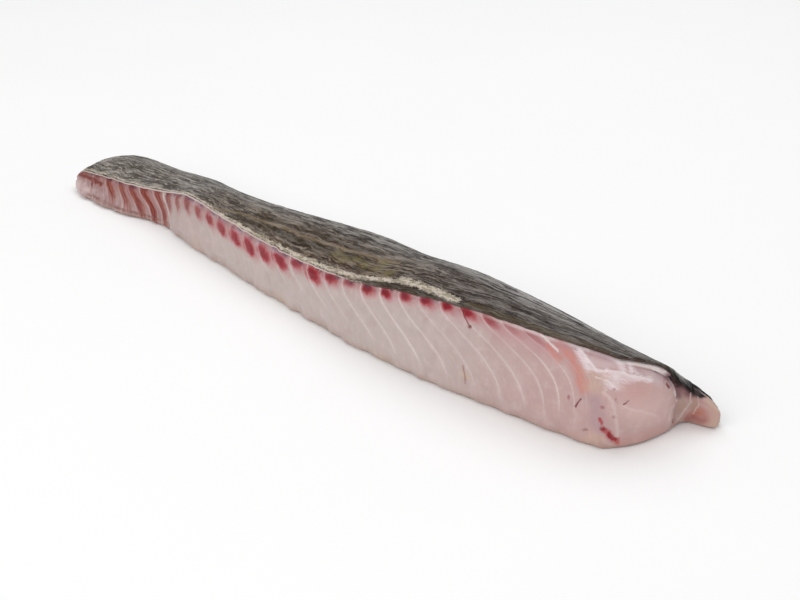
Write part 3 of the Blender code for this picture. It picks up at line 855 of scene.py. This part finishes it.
def make_skin():
    """The skin as a thin closed sheet with rounded rims: outer face, hem, inner face and cut edge."""
    starts = np.arange(0, BODY_LENGTH - CURL_LENGTH - 1, SKIN_COLUMN)
    ends = np.arange(BODY_LENGTH, starts[-1] + SKIN_END_COLUMN, -SKIN_END_COLUMN)
    starts = np.concatenate([starts, ends[::-1]])
    inner_rows = SKIN_ROWS // SKIN_INNER_SHARE
    lip = rough(np.stack([starts, 0 * starts, 0 * starts], -1), LIP_WAVE)[:, None]

    def face(v, depth):
        v = lip + (1 - lip) * v
        return skin_place(np.broadcast_to(starts[:, None], v.shape), v, depth)

    outer = face(np.linspace(0, 1, SKIN_ROWS + 1), 0.0)
    inner = face(np.linspace(1, 0, inner_rows + 1), SKIN_THICKNESS)
    steps = np.linalg.norm(np.diff(outer, axis=1), axis=-1)
    girth = np.concatenate([np.zeros((len(starts), 1)), np.cumsum(steps, 1)], 1)

    def rim(a, b, beyond):
        """Points of a half round from a to b that bulges away from a third point."""
        middle, half = (a + b) / 2, (a - b) / 2
        out = a - beyond
        out /= np.linalg.norm(out, axis=-1, keepdims=True)
        radius = np.linalg.norm(half, axis=-1, keepdims=True)
        turns = np.pi * np.arange(1, RIM_ROWS + 1) / (RIM_ROWS + 1)
        return np.stack([middle + half * np.cos(t) + out * radius * np.sin(t) for t in turns], 1)

    hem = rim(outer[:, -1], inner[:, 0], outer[:, -2])
    edge = rim(inner[:, -1], outer[:, 0], inner[:, -2])
    rings = np.concatenate([outer, hem, inner, edge], 1)
    around = np.concatenate([girth, np.repeat(girth[:, -1:], RIM_ROWS, 1),
                             np.linspace(1, 0, inner_rows + 1) * girth[:, -1:],
                             np.zeros((len(starts), RIM_ROWS))], 1)
    parts = ((outer, 0.0), (hem, 0.5), (inner, 1.0), (edge, 0.5))
    inside = np.concatenate([np.full(part.shape[:2], share) for part, share in parts], 1)
    count, size = rings.shape[:2]
    solid = Solid()
    solid.add_points(rings, along=rings[..., 0], girth=around, inside=inside)
    solid.faces += ring_faces(count, size)
    for first, backward in ((0, False), ((count - 1) * size, True)):
        for n in range(inner_rows):
            upper = [first + SKIN_INNER_SHARE * n + m for m in range(SKIN_INNER_SHARE + 1)]
            low = first + SKIN_ROWS + RIM_ROWS + 1 + inner_rows - n
            face = (*upper, low - 1, low)
            solid.faces.append(face[::-1] if backward else face)
        hem_face = tuple(first + SKIN_ROWS + m for m in range(RIM_ROWS + 2))
        edge_face = tuple(first + (size - RIM_ROWS - 1 + m) % size for m in range(RIM_ROWS + 2))
        for face in (hem_face, edge_face):
            solid.faces.append(face[::-1] if backward else face)
    points, faces, values = solid.finished()
    mesh = make_mesh("skin", points, faces)
    along, girth, outside = values["along"], values["girth"], values["inside"] < 0.25
    wrinkle = rough(np.stack([along, girth, 0 * girth], -1), SKIN_ROUGH)
    wrinkle -= FOLD_DEPTH * mask_of(SKIN_FOLDS, along, girth) ** 2
    displace(mesh, wrinkle * outside * smoothstep(girth / SKIN_FLAT_EDGE))
    store(mesh, values)
    store(mesh, {layer.name: mask_of(layer.marks, along, girth) * outside for layer in SKIN_LAYERS})
    return mesh


def tint(red, green, blue):
    """A linear colour from its sRGB values of 0 to 255."""
    share = np.array([red, green, blue]) / 255
    linear = np.where(share <= 0.04045, share / 12.92, ((share + 0.055) / 1.055) ** 2.4)
    return (*linear.tolist(), 1.0)


class Value:
    """An output of a material's nodes, to add, subtract and multiply like a number."""

    def __init__(self, paint, socket):
        self.paint, self.socket = paint, socket

    def __add__(self, other):
        return self.paint.math("ADD", self, other)

    def __sub__(self, other):
        return self.paint.math("SUBTRACT", self, other)

    def __mul__(self, other):
        return self.paint.math("MULTIPLY", self, other)

    def ramp(self, low, high, first=0.0, last=1.0):
        """A smooth change from first to last as the value goes from low to high."""
        feeds = dict(enumerate((self, low, high, first, last)))
        return self.paint.node("MapRange", feeds, interpolation_type="SMOOTHSTEP")


class Paint:
    """A material's node tree, with a short call for each kind of node. Colours go by their names."""

    def __init__(self, name, tints):
        self.material = bpy.data.materials.new(name)
        self.material.use_nodes = True
        self.nodes = self.material.node_tree.nodes
        self.links = self.material.node_tree.links
        self.tints = tints
        self.place = self.node("TexCoord", {}, "Object")
        self.colour = None

    def feed(self, socket, value):
        """Gives a socket another node's output, a number or a colour from the table."""
        if isinstance(value, Value):
            self.links.new(value.socket, socket)
        elif value is not None:
            socket.default_value = tint(*self.tints[value]) if isinstance(value, str) else value

    def node(self, kind, feeds, output=0, **settings):
        """Adds a node with these settings and inputs, and gives one of its outputs."""
        node = self.nodes.new("ShaderNode" + kind)
        for name, setting in settings.items():
            setattr(node, name, setting)
        for name, value in feeds.items():
            self.feed(node.inputs[name], value)
        return Value(self, node.outputs[output])

    def value(self, name):
        """A value that the mesh holds under this name."""
        return self.node("Attribute", {}, "Fac", attribute_name=name)

    def math(self, operation, a, b=None, clamp=False):
        return self.node("Math", {0: a, 1: b}, operation=operation, use_clamp=clamp)

    def arrow(self, operation, a, b, output=0):
        """Arithmetic with vectors, where a scale is a number."""
        feeds = {0: a, "Scale" if operation == "SCALE" else 1: b}
        return self.node("VectorMath", feeds, output, operation=operation)

    def vector(self, x, y, z=0.0):
        return self.node("CombineXYZ", {0: x, 1: y, 2: z})

    def noise(self, vector, scale, detail=3.0, roughness=0.55):
        feeds = {"Vector": vector, "Scale": scale, "Detail": detail, "Roughness": roughness}
        return self.node("TexNoise", feeds, "Fac")

    def clouds(self, vector, scale):
        """Three noises at once, as a vector."""
        return self.node("TexNoise", {"Vector": vector, "Scale": scale}, "Color")

    def mix(self, share, a, b):
        """Colour a mixed with a share of colour b, which are the node's sockets 6 and 7."""
        return self.node("Mix", {"Factor": share, 6: a, 7: b}, 2, data_type="RGBA")

    def over(self, share, colour):
        """Mixes a share of another colour into the colour so far."""
        self.colour = self.mix(share, self.colour, colour)

    def bumps(self, *rows):
        """Relief that only the shading shows, from rows of (height, its size in metres, strength)."""
        normal = None
        for height, distance, strength in rows:
            feeds = {"Height": height, "Distance": distance, "Strength": strength, "Normal": normal}
            normal = self.node("Bump", feeds)
        return normal

    def stroke(self, place, mark):
        """The distance from a place on a flat map to a stroke, as a share of its half width."""
        nearest = None
        for start, end in zip(mark.points, mark.points[1:]):
            run = Vector((end[0] - start[0], end[1] - start[1], 0))
            offset = self.arrow("SUBTRACT", place, (*start, 0))
            share = self.arrow("DOT_PRODUCT", offset, run / run.length_squared, 1)
            share = self.math("ADD", share, 0.0, clamp=True)
            distance = self.arrow("DISTANCE", offset, self.arrow("SCALE", run, share), 1)
            nearest = distance if nearest is None else self.math("MINIMUM", nearest, distance)
        return self.math("DIVIDE", nearest, mark.width)

    def lines(self, lines, place, present):
        """Draws thin lines where present is 1."""
        for line in lines:
            for mark in line.strokes:
                share = self.stroke(place, mark).ramp(*LINE_EDGE, line.strength, 0.0)
                self.over(share * present, tint(*line.colour))

    def layer(self, layer, grain, patch=1.0):
        """Lays a layer's colour on, with its edge broken up by grain and its strength by patch."""
        rough = (grain - 0.5) * layer.grain
        edge = self.value(layer.name) + rough
        share = edge.ramp(0.5 - layer.soft, 0.5 + layer.soft, 0.0, layer.strength)
        present = self.value(layer.name).ramp(0.0, LAYER_EDGE) * patch
        self.over(share * present, tint(*layer.colour))

    def finished(self, feeds):
        """The material, once its surface's own inputs are fed."""
        for name, value in feeds.items():
            self.feed(self.nodes["Principled BSDF"].inputs[name], value)
        return self.material


def flesh_material():
    """Raw flesh: the ground, the dark muscle and the flake lines, then the marks of side and head."""
    paint = Paint("flesh", FLESH_TINTS)
    mix, place = paint.mix, paint.place
    along, below, up = paint.value("along"), paint.value("below"), paint.value("up")
    soft = paint.noise(place, 60, 3)
    medium = paint.noise(place, 260, 4, 0.6)
    fine = paint.noise(place, 900, 4, 0.6)
    wide = paint.noise(place, 130, 4, 0.6)
    fibre = paint.noise(paint.vector(along * 0.16, below * 1.1, up), 1.0, 4, 0.6)
    tail = along.ramp(95, 160, 0.35, 0.0)
    flake = paint.value("flake") + (wide - 0.5) * 0.25
    tail = paint.math("MAXIMUM", tail, flake.ramp(STEP_FLAKE - 0.05, STEP_FLAKE + 0.1, 1.0, 0.0))
    head = along.ramp(300, 400)
    paint.colour = mix(soft, "cool", "warm")
    paint.over(tail * 0.85, "tail")
    paint.over(head * 0.7, "head")
    paint.over(wide.ramp(0.45, 0.75, 0.0, 0.4), "bright")
    paint.over(wide.ramp(0.5, 0.25, 0.0, 0.4), "dull")
    near_skin = (below + wide * 8).ramp(4.0, 14.0, 1.0, 0.0)
    top_tint = mix(along.ramp(150, 300), "top_tail", "top")
    paint.over(near_skin * 0.65, top_tint)
    low = (up + wide * 3).ramp(1.5, 6.0, 0.6, 0.0)
    paint.over(low, "low")
    paint.over(medium.ramp(0.5, 0.75, 0.0, 0.3), "speck")
    strip = paint.value("flake") * 9 + wide * 1.5
    strip = paint.noise(paint.vector(strip, below * 0.12), 1.0, 3, 0.6)
    strips = strip.ramp(0.4, 0.65, 0.0, tail.ramp(0.0, 1.0, 0.22, 0.5))
    paint.over(strips, mix(tail, "strip", "strip_tail"))

    # The dark muscle: red stripes at the tail and crimson blotches along the middle.
    grain = (medium - 0.5) * 0.9
    grain = grain + (strip - 0.5) * tail
    stripe = paint.value("stripe") + grain
    strength = paint.value("stripe_strength")
    halo = stripe.ramp(-0.5, 0.4, 0.0, 0.65) * strength
    core = stripe.ramp(-0.02, 0.6, 0.0, 1.0) * strength
    crimson = paint.value("crimson")
    paint.over(halo, mix(crimson, "halo_tail", "halo"))
    tail_core = mix(strip.ramp(0.42, 0.6), "core_tail", "core_dark")
    paint.over(core, mix(crimson, tail_core, "core"))
    deep = stripe.ramp(0.35, 0.85, 0.0, 0.6) * (strength * crimson)
    paint.over(deep, "deep")

    # The bluish veil under the skin's edge, and painted shadow: small dark bits between the flesh and
    # the skin's edge.
    veil = below.ramp(1.0, 3.6, 0.7, 0.0) * medium.ramp(0.4, 0.55)
    veil = veil * along.ramp(96, 120)
    veil = veil * along.ramp(222, 195)
    paint.over(veil, mix(wide.ramp(0.42, 0.58), "veil", "veil_pale"))
    shadow_bits = below.ramp(0.6, 2.6, 1.0, 0.0) * medium.ramp(0.48, 0.58)
    shadow_bits = shadow_bits * along.ramp(330, 300, 0.0, 0.7)
    paint.over(shadow_bits, "shadow_bits")

    # The pale lines between the flakes, the step on the tail piece and the edges.
    wavy = paint.value("flake") + wide * 0.06
    phase = paint.math("PINGPONG", wavy - 0.03, 0.5)
    glow = phase.ramp(0.0, 0.16, 0.3, 0.0)
    line = phase.ramp(0.008, 0.05, 0.8, 0.0) * fine.ramp(0.3, 0.6, 0.5, 1.0)
    line = paint.math("MAXIMUM", glow, line) * paint.value("septa")
    paint.over(line, "septum")
    step = paint.math("ABSOLUTE", flake - STEP_FLAKE)
    step = step.ramp(0.02, 0.12, 0.85, 0.0) * paint.value("side")
    paint.over(step, "step")
    membrane = below.ramp(0.7, 1.9, 0.85, 0.0) * along.ramp(335, 370)
    paint.over(membrane, "membrane")
    low_line = paint.value("low_line") + grain
    low_line = low_line.ramp(0.15, 0.75, 0.0, wide.ramp(0.35, 0.6, 0.2, 0.75))
    paint.over(low_line, "low_line")

    # The marks of the side and the head. The membrane's grain runs out along it.
    map_x, map_y = paint.value("map_x"), paint.value("map_y")
    slope = map_y + map_x * 0.3 + wide * 5
    wisps = paint.noise(paint.vector(map_x * 0.22, slope * 1.5), 1.0, 5, 0.7)
    patch = soft.ramp(0.3, 0.55, 0.7, 1.0)
    for layer in HEAD_LAYERS + SIDE_LAYERS:
        paint.layer(layer, wisps if layer.name in WISPY_LAYERS else medium, patch)
    shift = paint.arrow("SUBTRACT", paint.clouds(place, 330), (0.5, 0.5, 0.5))
    shift = paint.arrow("SCALE", shift, 1.6)
    head_place = paint.arrow("ADD", paint.vector(map_x, map_y), shift)
    paint.lines(HEAD_LINES, head_place, paint.value("facing"))
    side_place = paint.arrow("ADD", paint.vector(along, below), shift)
    paint.lines(SIDE_LINES, side_place, paint.value("side"))
    dull = paint.value("shadow").ramp(0.2, 0.6, 0.0, 0.5)
    roughness = medium.ramp(0.3, 0.7, 0.3, 0.5) + dull
    normal = paint.bumps((fibre, 0.0003, 0.5), (medium, 0.0004, 0.5), (fine, 0.00015, 0.5))
    return paint.finished({
        "Base Color": paint.colour, "Roughness": roughness, "Normal": normal,
        "Subsurface Weight": 0.2, "Subsurface Radius": (1.0, 0.45, 0.35), "Subsurface Scale": 0.002,
        "Specular IOR Level": 0.28, "Coat Weight": 0.12, "Coat Roughness": 0.12})


def skin_material():
    """Wet, finely wrinkled skin: brown and grey streaks along the loin, partly painted glints, its
    marks, a painted reflection on the far side and painted shade on the curled end at the head.
    """
    paint = Paint("skin", SKIN_TINTS)
    mix, place = paint.mix, paint.place
    along, girth, inside = paint.value("along"), paint.value("girth"), paint.value("inside")
    row = girth + paint.noise(place, 60, 3) * 8

    def streaks(length, width, seed, detail=2.0):
        """Noise drawn out along the loin, with features of this length and width in mm."""
        drawn_out = paint.vector(along * (1 / length), row * (1 / width), seed)
        return paint.noise(drawn_out, 1.0, detail, 0.6)

    head = along.ramp(270, 350)
    band = streaks(50, 6, 1.5)
    fleck = streaks(4.5, 1.1, 13.5, 3.0)
    thread = streaks(10, 1.0, 23.5, 3.0)
    bold = mix(head, streaks(15, 2.4, 7.5, 3.0), streaks(40, 2.0, 19.5, 2.0))
    grain = paint.noise(place, 900, 4, 0.7)
    scale = paint.noise(place, 330, 3, 0.6)
    crumbs = paint.noise(place, 1300, 3, 0.7)
    tail = along.ramp(70, 180, 1.0, 0.0)
    light, dark, pale, deep = (mix(head, mix(tail, tone, tone + "_tail"), tone + "_head")
                               for tone in ("light", "dark", "pale", "deep"))
    paint.colour = mix(band.ramp(0.4, 0.6), dark, light)
    # The pale streaks and flecks are partly the skin's own light pattern and partly painted glints of
    # its wet wrinkles.
    paint.over(bold.ramp(0.54, 0.62, 0.0, head.ramp(0.0, 1.0, 0.3, 0.55)), pale)
    paint.over(bold.ramp(0.47, 0.36, 0.0, head.ramp(0.0, 1.0, 0.4, 0.8)), deep)
    paint.over(thread.ramp(0.53, 0.62, 0.0, 0.55), pale)
    paint.over(thread.ramp(0.47, 0.39, 0.0, 0.65), deep)
    paint.over(fleck.ramp(0.55, 0.64, 0.0, 0.6), pale)
    paint.over(fleck.ramp(0.45, 0.36, 0.0, 0.65), deep)

    # Painted reflection on the far side, where the wet skin turns away: pale glints between dark
    # lines. A browner band at the head's edge.
    far_reflection = (girth + band * 20).ramp(24, 46, 0.0, 0.78)
    glint = mix(0.22, streaks(28, 4.6, 31.5, 3.0), thread)
    glint_light = mix(head, "glint", "glint_head")
    paint.over(far_reflection, mix(glint.ramp(0.48, 0.54), "far_dark", glint_light))
    low = (girth + scale * 8).ramp(32, 12, 0.0, along.ramp(285, 330, 0.0, 0.6))
    paint.over(low, mix(thread.ramp(0.45, 0.57), "low_dark", "low_light"))
    paint.over(grain.ramp(0.5, 0.3, 0.0, 0.4), deep)
    paint.over(grain.ramp(0.55, 0.75, 0.0, 0.3), pale)
    for layer in SKIN_LAYERS:
        patch = fleck.ramp(0.5, 0.56) if layer.name == "cream_bits" else 1.0
        paint.layer(layer, mix(0.5, crumbs, mix(0.25, scale, thread)), patch)

    # The cut edge and the inner side, and painted shade on the skin's end where it curls down at the
    # head cut.
    dark_edge = (along + scale * 60).ramp(270, 310)
    edge_colour = mix(dark_edge, "edge", "edge_head")
    paint.over(inside.ramp(0.1, 0.4), edge_colour)
    end_shade = (along + bold * 4).ramp(417, 421, 0.0, 0.9)
    end_shade = end_shade * girth.ramp(24, 31)
    paint.over(end_shade, "deep_head")
    roughness = scale.ramp(0.3, 0.7, 0.34, 0.55)
    normal = paint.bumps((bold, 0.001, 0.7), (thread, 0.0007, 0.7), (fleck, 0.0006, 0.6),
                         (grain, 0.0004, 0.6))
    shine = mix(0.5, bold, thread).ramp(0.44, 0.6, 0.08, 0.7)
    return paint.finished({"Base Color": paint.colour, "Roughness": roughness, "Normal": normal,
                           "Specular IOR Level": shine})


def add_piece(name, mesh, material):
    piece = bpy.data.objects.new(name, mesh)
    piece.data.materials.append(material)
    bpy.context.scene.collection.objects.link(piece)
    return piece


def add_light(name, place, size, power):
    """A rectangular white light that shines on the middle of the board."""
    light = bpy.data.lights.new(name, "AREA")
    light.shape = "RECTANGLE"
    light.size, light.size_y = size
    light.energy = power
    lamp = bpy.data.objects.new(name, light)
    lamp.location = place
    lamp.rotation_euler = (-Vector(place)).to_track_quat("-Z", "Y").to_euler()
    lamp.visible_camera = False
    bpy.context.scene.collection.objects.link(lamp)


def add_camera():
    back = Vector(camera_axes()[2])
    camera = bpy.data.cameras.new("camera")
    camera.lens = CAMERA_LENS
    camera.clip_start = CLIP_START
    view = bpy.data.objects.new("camera", camera)
    view.location = Vector(CAMERA_TARGET) + back * CAMERA_DISTANCE
    view.rotation_euler = back.to_track_quat("Z", "Y").to_euler()
    bpy.context.scene.collection.objects.link(view)
    bpy.context.scene.camera = view


def add_studio():
    square = ((-1, -1), (1, -1), (1, 1), (-1, 1))
    corners = [(x * FLOOR_HALF, y * FLOOR_HALF, -FLOOR_DROP) for x, y in square]
    mesh = bpy.data.meshes.new("floor")
    mesh.from_pydata(corners, [], [(0, 1, 2, 3)])
    paint = Paint("floor", FLOOR_TINTS)
    mottle = paint.mix(paint.noise(paint.place, 6, 2), "off_white", "white")
    material = paint.finished({"Base Color": mottle, "Roughness": 0.8, "Specular IOR Level": 0.1})
    add_piece("floor", mesh, material)
    world = bpy.data.worlds.new("studio")
    world.use_nodes = True
    background = world.node_tree.nodes["Background"].inputs
    background["Color"].default_value = (1, 1, 1, 1)
    background["Strength"].default_value = WORLD_STRENGTH
    bpy.context.scene.world = world
    for name, place, size, power in LIGHTS:
        add_light(name, place, size, power)
    bpy.context.scene.view_settings.view_transform = "Standard"


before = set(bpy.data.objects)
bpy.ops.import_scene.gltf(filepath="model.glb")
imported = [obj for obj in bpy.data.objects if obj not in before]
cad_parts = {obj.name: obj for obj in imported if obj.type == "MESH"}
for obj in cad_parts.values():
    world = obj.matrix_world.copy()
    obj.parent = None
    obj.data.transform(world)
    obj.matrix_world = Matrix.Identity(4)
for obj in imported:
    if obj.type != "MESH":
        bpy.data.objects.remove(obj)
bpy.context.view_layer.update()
looks = {"flesh": (make_flesh, flesh_material), "skin": (make_skin, skin_material)}
for node, (make, material) in looks.items():
    piece = add_piece(f"{node}_look", make(), material())
    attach(piece, "root")
    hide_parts(node)
add_camera()
add_studio()
